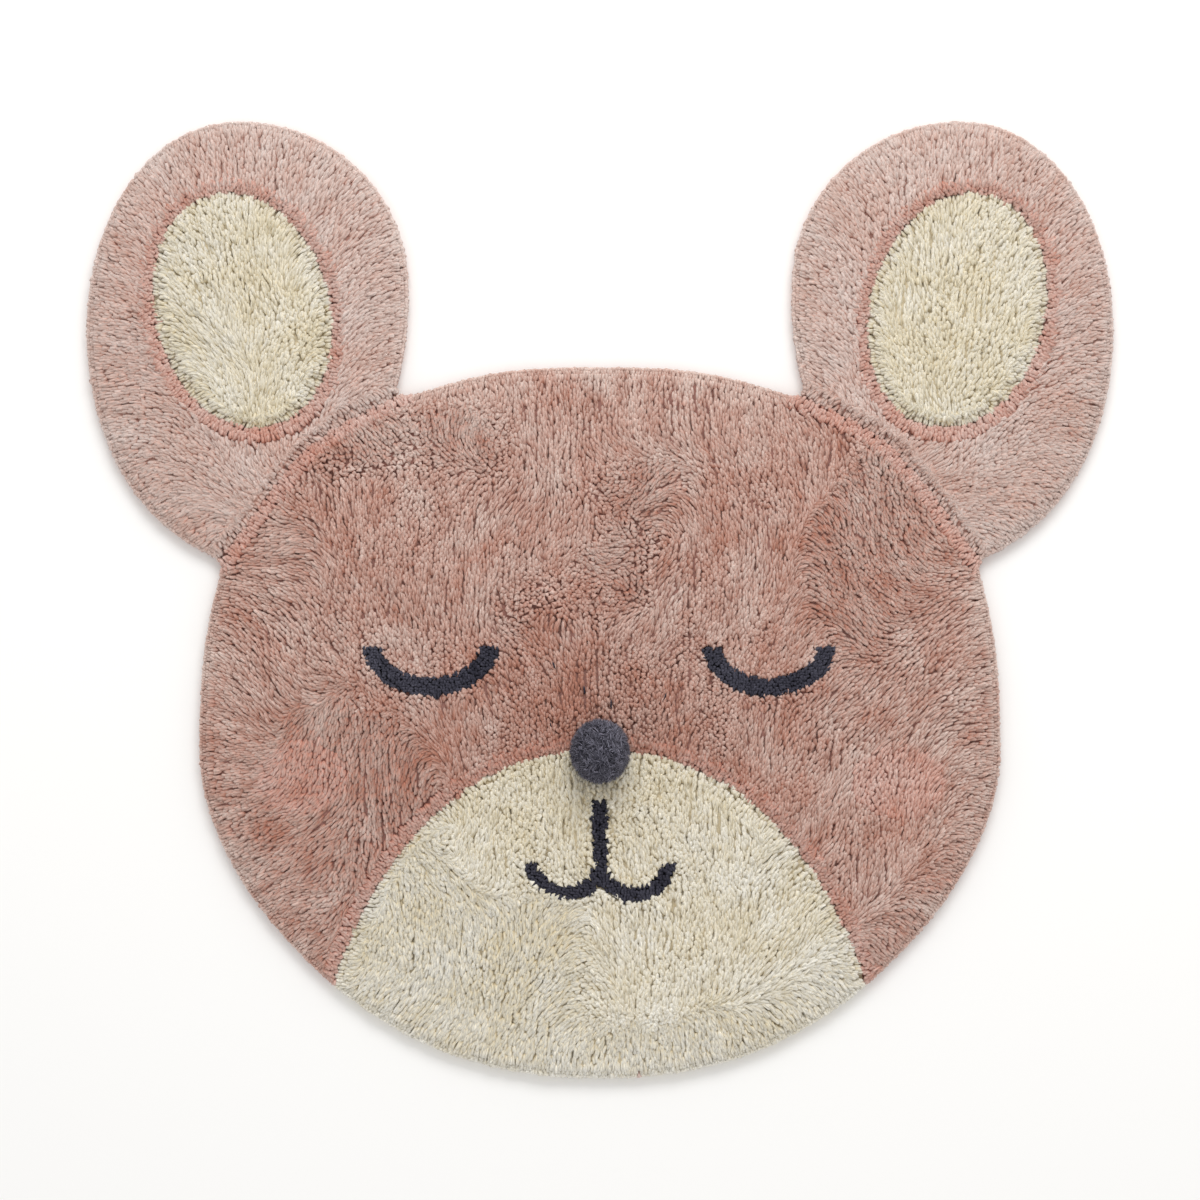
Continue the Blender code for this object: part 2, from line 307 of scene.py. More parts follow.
def pile_heights(places):
    """How high the sheared pile stands at each place."""
    wave = [noise.noise((x / UNEVEN_LENGTH, y / UNEVEN_LENGTH, 0)) for x, y in places]
    carved = np.clip(1 - nearest(places, borders) / CARVE_HALF_WIDTH, 0, 1) * CARVE_DEPTH
    to_nose = np.linalg.norm(places - nose_middle, axis=1)
    pressed = np.clip(1 - (to_nose - SEAT_RADIUS) / SEAT_SLOPE, 0, 1) * SEAT_DEPTH
    return PILE_TOP + np.array(wave) * UNEVEN_HEIGHT - np.maximum(carved, pressed)


# %% [markdown]
# ## Where the tufts stand
# The gun runs up and down, so its stitches stand in upright columns 5.4 mm apart, and a hand never guides
# it quite straight. Each stitch is a loop, and cutting it leaves two ends of yarn side by side: those are
# our tufts. Round the edge and along every border the maker first sets rows that follow the line, which
# keeps it clean. The two outer rows of the edge stand low and nearly upright and hide the canvas. The
# eyes and the mouth are a finer yarn, and a few loose snips of it lie on the rose above the nose.

# %% Rows along a line, and columns over the rug
HAND_WANDER, HAND_LENGTH = 9 * MM, 85 * MM
# The columns reach a little beyond the rug on every side.
GRID_REACH_X, GRID_REACH_Y = 560 * MM, 530 * MM


def walk(chain, pitch, offset, start):
    """Places one pitch apart along the chain, moved to its right by the offset."""
    moved = chain + right_normals(chain) * offset
    lengths = np.concatenate([[0], np.linalg.norm(np.diff(moved, axis=0), axis=1).cumsum()])
    stops = np.arange(start * pitch, lengths[-1] - pitch / 2, pitch)
    return np.stack([np.interp(stops, lengths, moved[:, axis]) for axis in (0, 1)], axis=1)


def grid(pitch_x, pitch_y, wander, ends):
    """Columns and rows over the whole rug, bent by a slow wave as the hand wanders."""
    across = np.arange(-GRID_REACH_X, GRID_REACH_X, pitch_x)
    along = np.arange(-GRID_REACH_Y, GRID_REACH_Y, pitch_y)
    x, y = np.meshgrid(across, along)
    stitches = np.stack([x.ravel(), y.ravel()], axis=1)
    stitches += waves(stitches, HAND_LENGTH, layer=3.0)[:, :2] * HAND_WANDER
    places = (stitches[:, None] + ends).reshape(-1, 2)
    places += chance.normal(0, wander, places.shape)
    return places[inside(places, outline)]


# %% Tips of the rows round the edge. The table is in millimetres
RimRow = namedtuple("RimRow", "inset height lean")
RIM_ROWS = (
    RimRow(1.7, 10.6, 3.4),
    RimRow(0.8, 13.0, 4.4),
    RimRow(3.3, 14.6, 10.5),
    RimRow(6.9, 16.2, 10.5),
)
RIM_PITCH, RIM_WANDER, RIM_UNEVEN = 2.9 * MM, 0.25 * MM, 0.8 * MM

# Every second row starts half a pitch on, as bricks do.
rim_tips = [
    walk(outline, RIM_PITCH, -row.inset * MM, number % 2 / 2) for number, row in enumerate(RIM_ROWS)
]
tufts_a_row = [len(row_tips) for row_tips in rim_tips]
rim_heights = np.repeat([row.height for row in RIM_ROWS], tufts_a_row) * MM
rim_leans = np.repeat([row.lean for row in RIM_ROWS], tufts_a_row) * MM
rim_tips = np.concatenate(rim_tips)
rim_tips += chance.normal(0, RIM_WANDER, rim_tips.shape)
rim_heights += chance.normal(0, RIM_UNEVEN, len(rim_heights))
print("tufts in each row round the edge:", tufts_a_row)

# %% Tips of the rows along the borders
ROW_PITCH, TUFT_WANDER = 3.4 * MM, 0.45 * MM
CORAL_OFFSETS = (0.6 * MM, 3.7 * MM, 6.8 * MM, 9.9 * MM)
PLAIN_OFFSET = -1.2 * MM
# Whether the coral rows lie to the right of each border's way: both ears', the muzzle's, both inner ears'.
CORAL_TO_THE_RIGHT = (False, False, True, True, True)
FIELD_INSET = 9.6 * MM

border_tips = []
for chain, coral_to_the_right in zip(borders, CORAL_TO_THE_RIGHT):
    side = 1 if coral_to_the_right else -1
    for number, offset in enumerate((PLAIN_OFFSET, *CORAL_OFFSETS)):
        border_tips.append(walk(chain, ROW_PITCH, offset * side, number % 2 / 2))
border_tips = np.concatenate(border_tips)
border_tips += chance.normal(0, TUFT_WANDER, border_tips.shape)
border_tips = border_tips[inside(border_tips, outline)]
border_tips = border_tips[distance(border_tips, outline) > FIELD_INSET]
print("tufts along the borders:", len(border_tips))

# %% Tips of the field, the drawn lines and the loose snips
COLUMN_PITCH, STITCH_PITCH = 5.4 * MM, 5.0 * MM
CUT_ENDS = np.array([(-1.0, -1.2), (1.0, 1.3)]) * MM
FURROW = 0.9 * MM
LINE_PITCH, LINE_WANDER = 2.7 * MM, 0.4 * MM
# Each loose snip lies this way from the middle of the nose, and this many millimetres from it.
Snip = namedtuple("Snip", "degrees reach")
SNIPS = (Snip(78, 53), Snip(104, 67), Snip(149, 58), Snip(118, 101), Snip(41, 88))

field_tips = grid(COLUMN_PITCH, STITCH_PITCH, TUFT_WANDER, CUT_ENDS)
field_tips = field_tips[distance(field_tips, outline) > FIELD_INSET]
field_tips = field_tips[nearest(field_tips, borders) > ROW_PITCH / 2 - PLAIN_OFFSET]
field_tips = field_tips[coral_depth(field_tips) > CORAL_WIDTH + FURROW]

line_tips = grid(LINE_PITCH, LINE_PITCH, LINE_WANDER, np.zeros((1, 2)))
line_tips = line_tips[inside_any(line_tips, drawn_lines)]
snip_tips = [nose_middle + heading(snip.degrees) * snip.reach * MM for snip in SNIPS]
line_tips = np.concatenate([line_tips, snip_tips])
full_tips = np.concatenate([field_tips, border_tips])
full_tips = full_tips[~inside_any(full_tips, drawn_lines)]
print("tufts at the rim:", len(rim_tips), "in the field:", len(full_tips), "in the lines:", len(line_tips))

# %% [markdown]
# ## How the tufts lean
# Use and brushing lay the pile over. At the edge nothing holds it up, so it leans outward, and towards
# the middle it turns into soft patches that lean up or down the rug. The ears and the face are brushed
# upward. The ears lie calmer, and round the nose the pile stands more upright. Leaning tufts lie over each
# other like fur, and each patch catches the light differently, which makes a tufted rug look blotchy.
#
# At a border the coral rows are combed over the seam between the two yarns, and the yarn on the other
# side is combed towards them. Tufts beside the eyes and the mouth lean less, so that the thin lines stay
# clear. Where two ways of leaning meet, the tufts prop each other up, so the lean fades out there and
# leaves no bare parting.

# %% Numbers for the lean. Each pull is how much it counts beside the others
EDGE_REACH, NORMAL_REACH = 90 * MM, 30 * MM
PATCH_PULL, PATCH_LENGTH = np.array([0.7, 3.6]), 150 * MM
SMALL_PULL, SMALL_LENGTH = 0.4, 34 * MM
BRUSHED_EAR, EAR_CALM = np.array([0.15, 0.85]), 0.3
BRUSHED_FACE = np.array([0.0, 1.0])
COMBED_SEAM, SEAM_COMB_REACH, COMB_END = 2.5, 9 * MM, 3
BORDER_SLACK = 0.1 * MM
FULL_PULL = 0.4
USUAL_LEAN, LEAN_CHANGE, LEAN_LENGTH = 10.5 * MM, 0.9, 48 * MM
SHORTEST_SHARE, UPRIGHT_SHARE, FACE_REACH = 0.45, 0.4, 130 * MM
LINE_HOLD, LINE_REACH = 0.65, 9 * MM
BORDER_LEAN = 7.0 * MM


# %% A lean for each place: the way from a tuft's root to its tip
def way_to(places, chain):
    """The unit way from each place straight to the chain."""
    near = np.linalg.norm(places[:, None] - chain, axis=2).argmin(axis=1)
    normals = right_normals(chain)[near]
    return normals * np.sign(((chain[near] - places) * normals).sum(axis=1, keepdims=True))


def face_share(places):
    """From 1 at the nose to 0 away from the face."""
    return np.exp(-(np.linalg.norm(places - nose_middle, axis=1) / FACE_REACH) ** 2)


def pull_of_edge(places):
    """The way outward, and how much the edge counts. Every third point of the outline is enough."""
    corners, normals = outline[::3], right_normals(outline)[::3]
    apart = np.linalg.norm(places[:, None] - corners, axis=2)
    weights = np.exp(-(apart - apart.min(axis=1, keepdims=True)) / NORMAL_REACH)
    outward = weights @ normals / weights.sum(axis=1, keepdims=True)
    return outward, np.exp(-apart.min(axis=1) / EDGE_REACH)[:, None]


def leans_at(places):
    """Across the floor, from root to tip."""
    outward, near_edge = pull_of_edge(places)
    far_in = 1 - near_edge
    way = outward * near_edge
    on_ear = ~inside(places, head)[:, None]
    patch_pull = PATCH_PULL * np.where(on_ear, EAR_CALM, 1.0)
    way += waves(places, PATCH_LENGTH, layer=7.0)[:, :2] * patch_pull * far_in
    way += waves(places, SMALL_LENGTH, layer=9.0)[:, :2] * SMALL_PULL * far_in
    to_its_side = np.stack([np.sign(places[:, 0]), np.ones(len(places))], axis=1)
    way += BRUSHED_EAR * to_its_side * on_ear * far_in
    on_face = face_share(places)[:, None]
    way += BRUSHED_FACE * on_face
    depth = coral_depth(places)
    for border in borders:
        apart = distance(places, border)
        plain = (apart < COMB_END * SEAM_COMB_REACH) & (depth > apart + BORDER_SLACK)
        pull = COMBED_SEAM * np.exp(-(apart[plain] / SEAM_COMB_REACH) ** 2)[:, None]
        way[plain] += way_to(places[plain], border) * pull

    share = 1 + waves(places, LEAN_LENGTH, layer=2.0)[:, :1] * LEAN_CHANGE * far_in
    share *= 1 - UPRIGHT_SHARE * on_face
    to_line = np.where(inside_any(places, drawn_lines), 0, nearest(places, drawn_lines))[:, None]
    held = 1 - LINE_HOLD * np.exp(-(to_line / LINE_REACH) ** 2)
    held *= np.minimum(np.linalg.norm(way, axis=1, keepdims=True) / FULL_PULL, 1)
    lean = unit(way) * USUAL_LEAN * np.maximum(share, SHORTEST_SHARE) * held
    for border in borders:
        across = (depth < CORAL_WIDTH) & (distance(places, border) < CORAL_WIDTH)
        lean[across] = way_to(places[across], border) * BORDER_LEAN
    return lean


# %% [markdown]
# ## Ropes and roots
# Felting pulls neighbours together into ropes that run with the lean, with crevices between them. A short
# wave, averaged along the lean, is short across the ropes and long with them. The roots go back against
# the lean, but at the edge they have to stay on the canvas.

# %% Rope waves, and roots on the canvas
ROPE_WIDTH, ROPE_REACH = 6.5 * MM, np.linspace(-12, 12, 7) * MM
ROOTS_INSET = 5.2 * MM


def rope_waves(places, leans):
    """Three waves from -1 to 1 at each place, stretched along its lean."""
    ways = unit(leans)
    return np.mean([waves(places + ways * step, ROPE_WIDTH, layer=5.0) for step in ROPE_REACH], axis=0)


def roots_on_canvas(tips, leans):
    """Where each tuft is rooted: against its lean, but never off the canvas."""
    roots = tips - leans
    # Every second point of the outline is enough.
    corners, normals = outline[::2], right_normals(outline)[::2]
    apart = np.linalg.norm(roots[:, None] - corners, axis=2)
    near = apart.argmin(axis=1)
    inset = -((roots - corners[near]) * normals[near]).sum(axis=1)
    return roots - normals[near] * np.maximum(ROOTS_INSET - inset, 0)[:, None]


# %% [markdown]
# ## One tuft, and then all of them
# A cut tuft is a short, thick, felted end of yarn. Hair particles would be quick, but they don't export,
# and an instanced tuft would look the same everywhere. So each tuft is its own few faces: three rounded
# sides with a ridge on top, three rings along a bent line, and a tip. It rises and then lies over, so that
# its last part shows as a long stroke. Numpy bends and places all of them at once.

# %% Vertices of many tufts
SIDES = 3
Ring = namedtuple("Ring", "along width")
TUFT_RINGS = (Ring(0.0, 1.0), Ring(0.55, 1.25), Ring(0.90, 0.95))
STIFF_ROOT = 0.94
LOWEST = 0.3 * MM
BUMPY_SIDE, TWIST = 0.15, 0.4


def bent_lines(roots, tips, rings):
    """Ring middles and their directions, on a curve that leaves the root upright and bends to the tip."""
    knees = roots.copy()
    knees[:, 2] += STIFF_ROOT * (tips[:, 2] - roots[:, 2])
    t = np.array([ring.along for ring in rings])[None, :, None]
    roots, knees, tips = roots[:, None], knees[:, None], tips[:, None]
    middles = (1 - t) ** 2 * roots + 2 * t * (1 - t) * knees + t ** 2 * tips
    directions = unit((1 - t) * (knees - roots) + t * (tips - knees))
    return middles, directions


def lock_arrays(roots, tips, half_widths, rings):
    """Vertices of one lock for each root and tip: rings of the given half widths, then the tip itself."""
    count = len(roots)
    middles, directions = bent_lines(roots, tips, rings)
    flat_lean = tips - roots
    flat_lean[:, 2] = 0
    sideways = unit(np.cross((0, 0, 1), flat_lean))[:, None]
    above = np.cross(directions, sideways)
    ridge_up = math.pi / 2
    turns = ridge_up + math.tau * np.arange(SIDES) / SIDES + chance.uniform(-TWIST, TWIST, (count, 1))
    wide = np.array([ring.width for ring in rings])[None, :, None]
    bumps = 1 + chance.uniform(-BUMPY_SIDE, BUMPY_SIDE, (count, len(rings), SIDES))
    half_widths = half_widths[:, None, None]
    across = (np.cos(turns)[:, None] * wide * bumps * half_widths)[..., None] * sideways[:, :, None]
    deep = (np.sin(turns)[:, None] * wide * bumps * half_widths)[..., None] * above[:, :, None]
    skins = middles[:, :, None] + across + deep
    vertices = np.concatenate([skins.reshape(count, -1, 3), tips[:, None]], axis=1)
    vertices[:, :, 2] = np.maximum(vertices[:, :, 2], LOWEST)
    return vertices


# %% [markdown]
# ## A mesh with its maps
# Each lock gets its own cell of the bake map, so that no two share a pixel. A second map is in
# millimetres of yarn, for the fibres. Two values ride on the points: how near they are to the tip, and
# the tuft's shade, which holds its random tone and, on the face and the inner ears, painted shade.

# %% One mesh of many tufts
CELL_FILL = 0.92
TIP_ROW = 0.82
YARN_SPREAD_MM = 500


def lock_faces(rings):
    """One lock's quads and tip triangles, with their places in a unit square for the patterns."""
    faces, places = [], []
    rows = [ring.along * TIP_ROW / rings[-1].along for ring in rings] + [1.0]
    for row in range(len(rings) - 1):
        for side in range(SIDES):
            here, after = row * SIDES + side, row * SIDES + (side + 1) % SIDES
            faces.append((here, after, after + SIDES, here + SIDES))
            left, right, low, high = side / SIDES, (side + 1) / SIDES, rows[row], rows[row + 1]
            places.append(((left, low), (right, low), (right, high), (left, high)))
    last, tip = (len(rings) - 1) * SIDES, len(rings) * SIDES
    for side in range(SIDES):
        faces.append((last + side, last + (side + 1) % SIDES, tip))
        left, right = side / SIDES, (side + 1) / SIDES
        places.append(((left, rows[-2]), (right, rows[-2]), ((left + right) / 2, 1.0)))
    return faces, places


def locks_to_mesh(name, vertices, shades, rings):
    """One mesh of many locks. Each has its own bake map cell and a shade, which may hold painted shade."""
    count, size = vertices.shape[:2]
    faces, places = lock_faces(rings)
    corners = np.array([corner for face in faces for corner in face])
    loops = (corners + size * np.arange(count)[:, None]).ravel()
    sizes = np.tile([len(face) for face in faces], count)
    mesh = bpy.data.meshes.new(name)
    mesh.vertices.add(count * size)
    mesh.vertices.foreach_set("co", vertices.ravel())
    mesh.loops.add(len(loops))
    mesh.loops.foreach_set("vertex_index", loops)
    mesh.polygons.add(len(sizes))
    mesh.polygons.foreach_set("loop_start", np.concatenate([[0], sizes.cumsum()[:-1]]))
    mesh.polygons.foreach_set("use_smooth", np.ones(len(sizes), dtype=bool))
    mesh.update(calc_edges=True)

    square = np.array([place for face in places for place in face])
    columns = math.ceil(math.sqrt(count))
    cells = np.stack([np.arange(count) % columns, np.arange(count) // columns], axis=1)
    bake = (cells[:, None] + (1 - CELL_FILL) / 2 + square * CELL_FILL) / columns
    mesh.uv_layers.new(name="OFBake").data.foreach_set("uv", bake.ravel())
    around = math.tau * np.linalg.norm(vertices[:, SIDES] - vertices[:, SIDES + SIDES // 2], axis=1) / 2
    length = np.linalg.norm(vertices[:, -1] - vertices[:, 0], axis=1)
    yarn = square * np.stack([around, length], axis=1)[:, None] / MM
    yarn += chance.uniform(0, YARN_SPREAD_MM, (count, 1, 2))
    mesh.uv_layers.new(name="yarn_mm").data.foreach_set("uv", yarn.ravel())

    along = np.repeat([ring.along for ring in rings], SIDES).tolist() + [1.0]
    mesh.attributes.new("to_tip", "FLOAT", "POINT").data.foreach_set("value", np.tile(along, count))
    mesh.attributes.new("shade", "FLOAT", "POINT").data.foreach_set("value", np.repeat(shades, size))
    return mesh


# %% [markdown]
# ## Yarn materials
# The yarn is dyed cotton: dull, with a soft bloom of loose fibres that catches light from the side. A
# Principled shader with no metal, high roughness, low specular and some sheen gives that. Deep in the
# pile the dye looks darker and redder, because light bounces from tuft to tuft, so each yarn's root colour
# is painted shade. At the tips it is pale and grey, and the tip colour is partly wear and partly a painted
# highlight. So each yarn has a root, a middle and a tip colour. Wear differs from patch to patch, and the
# tuft's shade, partly painted, from tuft to tuft, so some turn pale further down than others.

# %% Helpers for colours and nodes
def linear(hex_colour):
    """An sRGB hex colour as linear RGBA."""
    values = [int(hex_colour[start:start + 2], 16) / 255 for start in (1, 3, 5)]
    return (*[v / 12.92 if v <= 0.04045 else ((v + 0.055) / 1.055) ** 2.4 for v in values], 1.0)


def add_node(tree, kind, settings=None, **links):
    """Adds a node. Settings are its properties, and links are its inputs: a socket, or a plain value.

    An input goes by its name, or by _ and its number where a node has that name more than once.
    """
    node = tree.nodes.new(kind)
    for name, value in (settings or {}).items():
        setattr(node, name, value)
    for name, value in links.items():
        socket = node.inputs[int(name[1:]) if name[1:].isdigit() else name.replace("_", " ")]
        if isinstance(value, bpy.types.NodeSocket):
            tree.links.new(value, socket)
        else:
            socket.default_value = value
    return node


def dull_material(name, roughness, specular):
    """A new material without metal or coat, with its node tree and its Principled shader."""
    material = bpy.data.materials.new(name)
    material.use_nodes = True
    shader = material.node_tree.nodes["Principled BSDF"]
    shader.inputs["Roughness"].default_value = roughness
    shader.inputs["Specular IOR Level"].default_value = specular
    return material, material.node_tree, shader


# %% The five yarns
# Real fibres are some 0.02 mm wide, too fine to see from above. Streaks of 1.2 mm stand for bundles of
# them. Shade range is how much tufts differ in brightness, and plump how full each is beside the rose.
Yarn = namedtuple("Yarn", "name root middle tip shade_range plump")
# The root colour is painted shade, and the pale tip colour is partly wear and partly a painted highlight.
YARNS = (
    Yarn("rose_cotton_yarn", "#a15e4a", "#b57f6c", "#ceb8ae", 0.11, 1.0),
    Yarn("pale_rose_cotton_yarn", "#c6826b", "#c9a597", "#d2c0b8", 0.06, 1.14),
    Yarn("cream_cotton_yarn", "#d9c494", "#dcd1b7", "#e6e2d8", 0.05, 1.1),
    Yarn("coral_cotton_yarn", "#b96c58", "#c58f7d", "#d0b4aa", 0.09, 1.0),
    Yarn("charcoal_cotton_yarn", "#22212b", "#33323d", "#4c4b56", 0.24, 1.0),
)
FIBRE_WIDTH, FIBRE_LENGTH, FIBRE_DEPTH = 1.2, 9.0, 0.5 * MM
FIBRE_SHADE = 0.24
PATCH_SIZE = 45 * MM
WORN_BY_PATCH, WORN_AND_SHADED_BY_TUFT = 0.26, 0.32
DEEP_END, DEEP_TOP = 0.1, 0.7
PALE_START, PALE_END = 0.38, 1.25
# Blender's noise texture mostly stays between these two values.
NOISE_LOW, NOISE_HIGH = 0.3, 0.7


def yarn_material(yarn):
    """Dyed cotton: dull, painted shade at the root, wear and painted highlight at the tip, streaks of fibre.
    """
    material, tree, shader = dull_material(yarn.name, roughness=0.92, specular=0.18)
    shader.inputs["Sheen Weight"].default_value = 0.22
    shader.inputs["Sheen Roughness"].default_value = 0.55
    shader.inputs["Sheen Tint"].default_value = linear(yarn.tip)

    # How near a point is to the tip, plus the wear of its patch and the shade of its tuft, which holds
    # random tone, painted shade and paleness near the edge.
    to_tip = add_node(tree, "ShaderNodeAttribute", {"attribute_name": "to_tip"})
    place = add_node(tree, "ShaderNodeTexCoord")
    patches = add_node(
        tree, "ShaderNodeTexNoise",
        Vector=place.outputs["Object"], Scale=1 / PATCH_SIZE, Detail=3.0, Roughness=0.6,
    )
    wear = add_node(
        tree, "ShaderNodeMapRange", Value=patches.outputs["Fac"],
        From_Min=NOISE_LOW, From_Max=NOISE_HIGH, To_Min=-WORN_BY_PATCH, To_Max=WORN_BY_PATCH,
    )
    shade = add_node(tree, "ShaderNodeAttribute", {"attribute_name": "shade"})
    faded_and_shaded = add_node(
        tree, "ShaderNodeMapRange", Value=shade.outputs["Fac"], To_Min=-WORN_AND_SHADED_BY_TUFT, To_Max=WORN_AND_SHADED_BY_TUFT
    )
    worn_and_shaded = add_node(
        tree, "ShaderNodeMath", {"operation": "ADD"}, _0=wear.outputs["Result"], _1=faded_and_shaded.outputs["Result"]
    )
    along = add_node(
        tree, "ShaderNodeMath", {"operation": "ADD"}, _0=to_tip.outputs["Fac"], _1=worn_and_shaded.outputs["Value"]
    )

    # From the root colour, which is painted shade, to the middle's, and from there to the tip colour,
    # which is wear and a painted highlight.
    deep = add_node(
        tree, "ShaderNodeMapRange", Value=to_tip.outputs["Fac"], From_Min=DEEP_END, From_Max=DEEP_TOP
    )
    pale = add_node(
        tree, "ShaderNodeMapRange", Value=along.outputs["Value"], From_Min=PALE_START, From_Max=PALE_END
    )
    low_dye_in_painted_shade = add_node(
        tree, "ShaderNodeMix", {"data_type": "RGBA"},
        _0=deep.outputs["Result"], _6=linear(yarn.root), _7=linear(yarn.middle),
    )
    dye_with_painted_light = add_node(
        tree, "ShaderNodeMix", {"data_type": "RGBA"},
        _0=pale.outputs["Result"], _6=low_dye_in_painted_shade.outputs[2], _7=linear(yarn.tip),
    )

    # Streaks of fibre along the yarn, as brightness and as relief.
    map_mm = add_node(tree, "ShaderNodeUVMap", {"uv_map": "yarn_mm"})
    stretch = add_node(
        tree, "ShaderNodeMapping", Vector=map_mm.outputs["UV"], Scale=(1 / FIBRE_WIDTH, 1 / FIBRE_LENGTH, 1.0)
    )
    fibres = add_node(
        tree, "ShaderNodeTexNoise", {"noise_dimensions": "2D"},
        Vector=stretch.outputs["Vector"], Scale=1.0, Detail=2.0,
    )
    by_tuft = add_node(
        tree, "ShaderNodeMapRange", Value=shade.outputs["Fac"],
        To_Min=1 - yarn.shade_range, To_Max=1 + yarn.shade_range,
    )
    by_fibre = add_node(
        tree, "ShaderNodeMapRange", Value=fibres.outputs["Fac"],
        From_Min=NOISE_LOW, From_Max=NOISE_HIGH, To_Min=1 - FIBRE_SHADE, To_Max=1 + FIBRE_SHADE,
    )
    value = add_node(
        tree, "ShaderNodeMath", {"operation": "MULTIPLY"},
        _0=by_tuft.outputs["Result"], _1=by_fibre.outputs["Result"],
    )
    colour = add_node(tree, "ShaderNodeHueSaturation", Value=value.outputs["Value"], Color=dye_with_painted_light.outputs[2])
    tree.links.new(colour.outputs["Color"], shader.inputs["Base Color"])
    relief = add_node(
        tree, "ShaderNodeBump", Strength=0.6, Distance=FIBRE_DEPTH, Height=fibres.outputs["Fac"]
    )
    tree.links.new(relief.outputs["Normal"], shader.inputs["Normal"])
    return material


yarn_materials = [yarn_material(yarn) for yarn in YARNS]
print("yarns:", [material.name for material in yarn_materials])

# %% [markdown]
# ## Setting a tuft
# Each tuft fills a little more than its share of the canvas, so that neighbours press into each other and
# only a shallow groove shows where two round sides meet. An upright tuft splays out, and one that lies
# over is drawn thin and ends a little lower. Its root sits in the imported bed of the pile, which is lower
# near the edge and under a seam.

# %% Heights of the bed, and tufts from their tips
HALF_WIDTH, HALF_WIDTH_LAID = 3.6 * MM, 2.25 * MM
LAID_LOWER, SHEAR_NOISE = 1.6 * MM, 0.45 * MM
TUFT_LEAN, LONGEST_LEAN = 1.6 * MM, 14 * MM
CANVAS_THICKNESS = 2.8 * MM
BED_HEIGHT, BED_EDGE_HEIGHT, BED_SLOPE = 13.4 * MM, 4.2 * MM, 1.0
SEAM_DEPTH, SEAM_REACH, SEAM_FLOOR = 2.0 * MM, 14 * MM, 1.4
ROOTED, ROOT_HEIGHT = 4.2 * MM, 0.8 * MM


def bed_heights(places):
    """How high the pile is felted below each place: lower near the edge and under a seam of two yarns."""
    rise = (distance(places, outline) - ROOTS_INSET) * BED_SLOPE
    carved = PILE_TOP - pile_heights(places)
    seam = np.clip(SEAM_FLOOR - nearest(places, borders) / SEAM_REACH, 0, 1) * SEAM_DEPTH
    top = np.maximum(BED_HEIGHT - carved - seam, BED_EDGE_HEIGHT)
    return np.clip(BED_EDGE_HEIGHT + rise, BED_EDGE_HEIGHT, top)


def set_tufts(tips_2d, heights, leans, plump):
    """Lock vertices for the tufts with these tips. Plump is how full each is beside the rose yarn."""
    leans = leans + chance.normal(0, TUFT_LEAN, leans.shape)
    leans *= np.minimum(1, LONGEST_LEAN / np.linalg.norm(leans, axis=1, keepdims=True))
    roots_2d = roots_on_canvas(tips_2d, leans)
    laid = np.minimum(np.linalg.norm(tips_2d - roots_2d, axis=1) / LONGEST_LEAN, 1)
    heights = heights - laid * LAID_LOWER + chance.normal(0, SHEAR_NOISE, len(tips_2d))
    tips = np.column_stack([tips_2d, heights])
    root_heights = np.maximum(bed_heights(roots_2d) - ROOTED, ROOT_HEIGHT)
    roots = np.column_stack([roots_2d, np.minimum(root_heights, heights / 2)])
    half_widths = plump * (HALF_WIDTH + (HALF_WIDTH_LAID - HALF_WIDTH) * laid)
    return lock_arrays(roots, tips, half_widths, TUFT_RINGS)


# %% Yarn, height and fullness of every tuft
LINE_THIN, LINE_PROUD = 0.7, 1.0 * MM
SNIP_THIN, SNIP_PROUD, SNIP_LEAN = 0.55, 2.6 * MM, 11 * MM
FACE_SLIM = 0.14
is_snip = slice(-len(SNIPS), None)

tip_places = np.concatenate([rim_tips, full_tips, line_tips])
tip_heights = np.concatenate([rim_heights, pile_heights(full_tips), pile_heights(line_tips) + LINE_PROUD])
tip_heights[is_snip] += SNIP_PROUD
number = np.arange(len(tip_places))
is_rim, is_line = number < len(rim_tips), number >= len(rim_tips) + len(full_tips)
yarns = yarns_at(tip_places)
yarns[is_line] = CHARCOAL
plump = np.array([yarn.plump for yarn in YARNS])[yarns]
plump[is_line] *= LINE_THIN
plump[is_snip] *= SNIP_THIN
plump[yarns == ROSE] *= 1 - FACE_SLIM * face_share(tip_places[yarns == ROSE])
print("tufts of each yarn:", {yarn.name: int((yarns == index).sum()) for index, yarn in enumerate(YARNS)})

# %% [markdown]
# ## Leans, shades and relief
# Now every tuft gets its lean and its shade, from 0 for dark to 1 for pale. The face and the inner ears
# get painted shade, the face for the crevices of its more upright pile, and the edge is drawn paler. The
# rope waves fade some tufts, pull neighbours together, and lift or sink them, which opens the crevices.
# Coral tips reach over the seam, and the first row beyond it is tucked under.

# %% Leans, shades and relief of every tuft
MIDDLE_SHADE, ROPE_SHADE, TUFT_SHADE = 0.5, 0.67, 0.09
# Painted shade for the face and the inner ears, and paleness towards the edge.
FACE_PAINTED_SHADE, EDGE_SHADE, INNER_EAR_PAINTED_SHADE = -0.40, 0.25, -0.30
ROPE_PULL, ROPE_RELIEF, FACE_RELIEF, EAR_RELIEF = 5.0 * MM, 6.5 * MM, 0.5, 0.75
CORAL_OVERHANG, CORAL_RAGGED = 2.0 * MM, 0.8 * MM
TUCKED_ROW, TUCKED_UNDER, TUCKED_LOWER = 3.4 * MM, 2.3 * MM, 0.7 * MM

leans = leans_at(tip_places)
leans[is_rim] = unit(leans[is_rim]) * rim_leans[:, None]
leans[is_snip] = unit(leans[is_snip]) * SNIP_LEAN
ropes = rope_waves(tip_places, leans)
in_inner = inside_any(tip_places, inner_ears)
shades = MIDDLE_SHADE + ropes[:, 0] * ROPE_SHADE + chance.normal(0, TUFT_SHADE, len(tip_places))
# Painted shade darkens the face and the inner ears, and the edge is drawn paler.
shades += FACE_PAINTED_SHADE * face_share(tip_places) + INNER_EAR_PAINTED_SHADE * in_inner
shades += EDGE_SHADE * np.exp(-distance(tip_places, outline) / EDGE_REACH)

